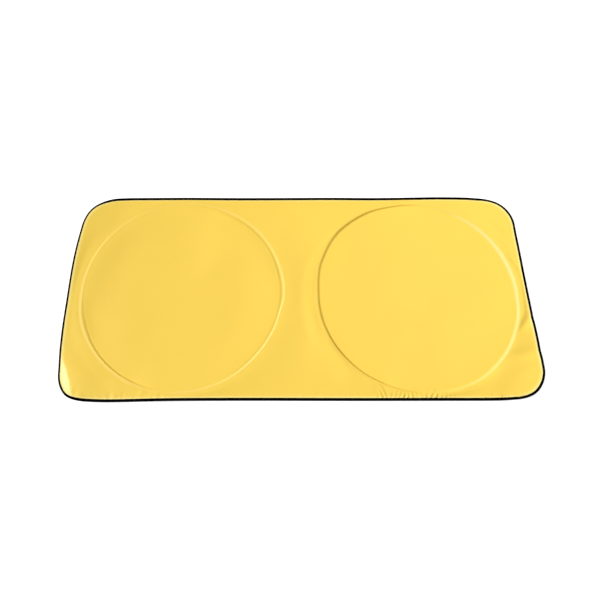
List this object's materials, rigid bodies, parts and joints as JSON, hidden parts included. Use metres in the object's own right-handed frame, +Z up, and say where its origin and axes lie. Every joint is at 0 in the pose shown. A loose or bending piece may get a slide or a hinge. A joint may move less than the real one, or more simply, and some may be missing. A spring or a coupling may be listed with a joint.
{
  "type": "folding windscreen sunshade",
  "caption": "Flat folding windscreen sunshade of gold coated cloth, with a spring hoop sewn into each half and a dark binding round its rounded rectangular edge.",
  "frame": {"origin": "on the floor under the middle of the shade as it lies flat", "axes": "+X along the length towards the right end, +Y towards the roof edge, +Z up out of the sun side"},
  "size_m": [1.4916, 0.7016, 0.0083],
  "materials": {
    "gold_cloth": "satin polyester with a gold coating on its outer face",
    "lining_cloth": "the same coated polyester, a little duller on the cabin side",
    "binding_tape": "black woven polyester tape with a fine rib",
    "spring_steel": "rolled and blued flat spring steel",
    "sleeve_zinc": "zinc-plated crimp"
  },
  "bodies": {
    "root": {"front_cloth": "gold_cloth", "back_cloth": "lining_cloth", "edge_binding": "binding_tape", "left_spring_hoop": "spring_steel", "right_spring_hoop": "spring_steel", "left_crimp_sleeve": "sleeve_zinc", "right_crimp_sleeve": "sleeve_zinc"}
  },
  "joints": []
}
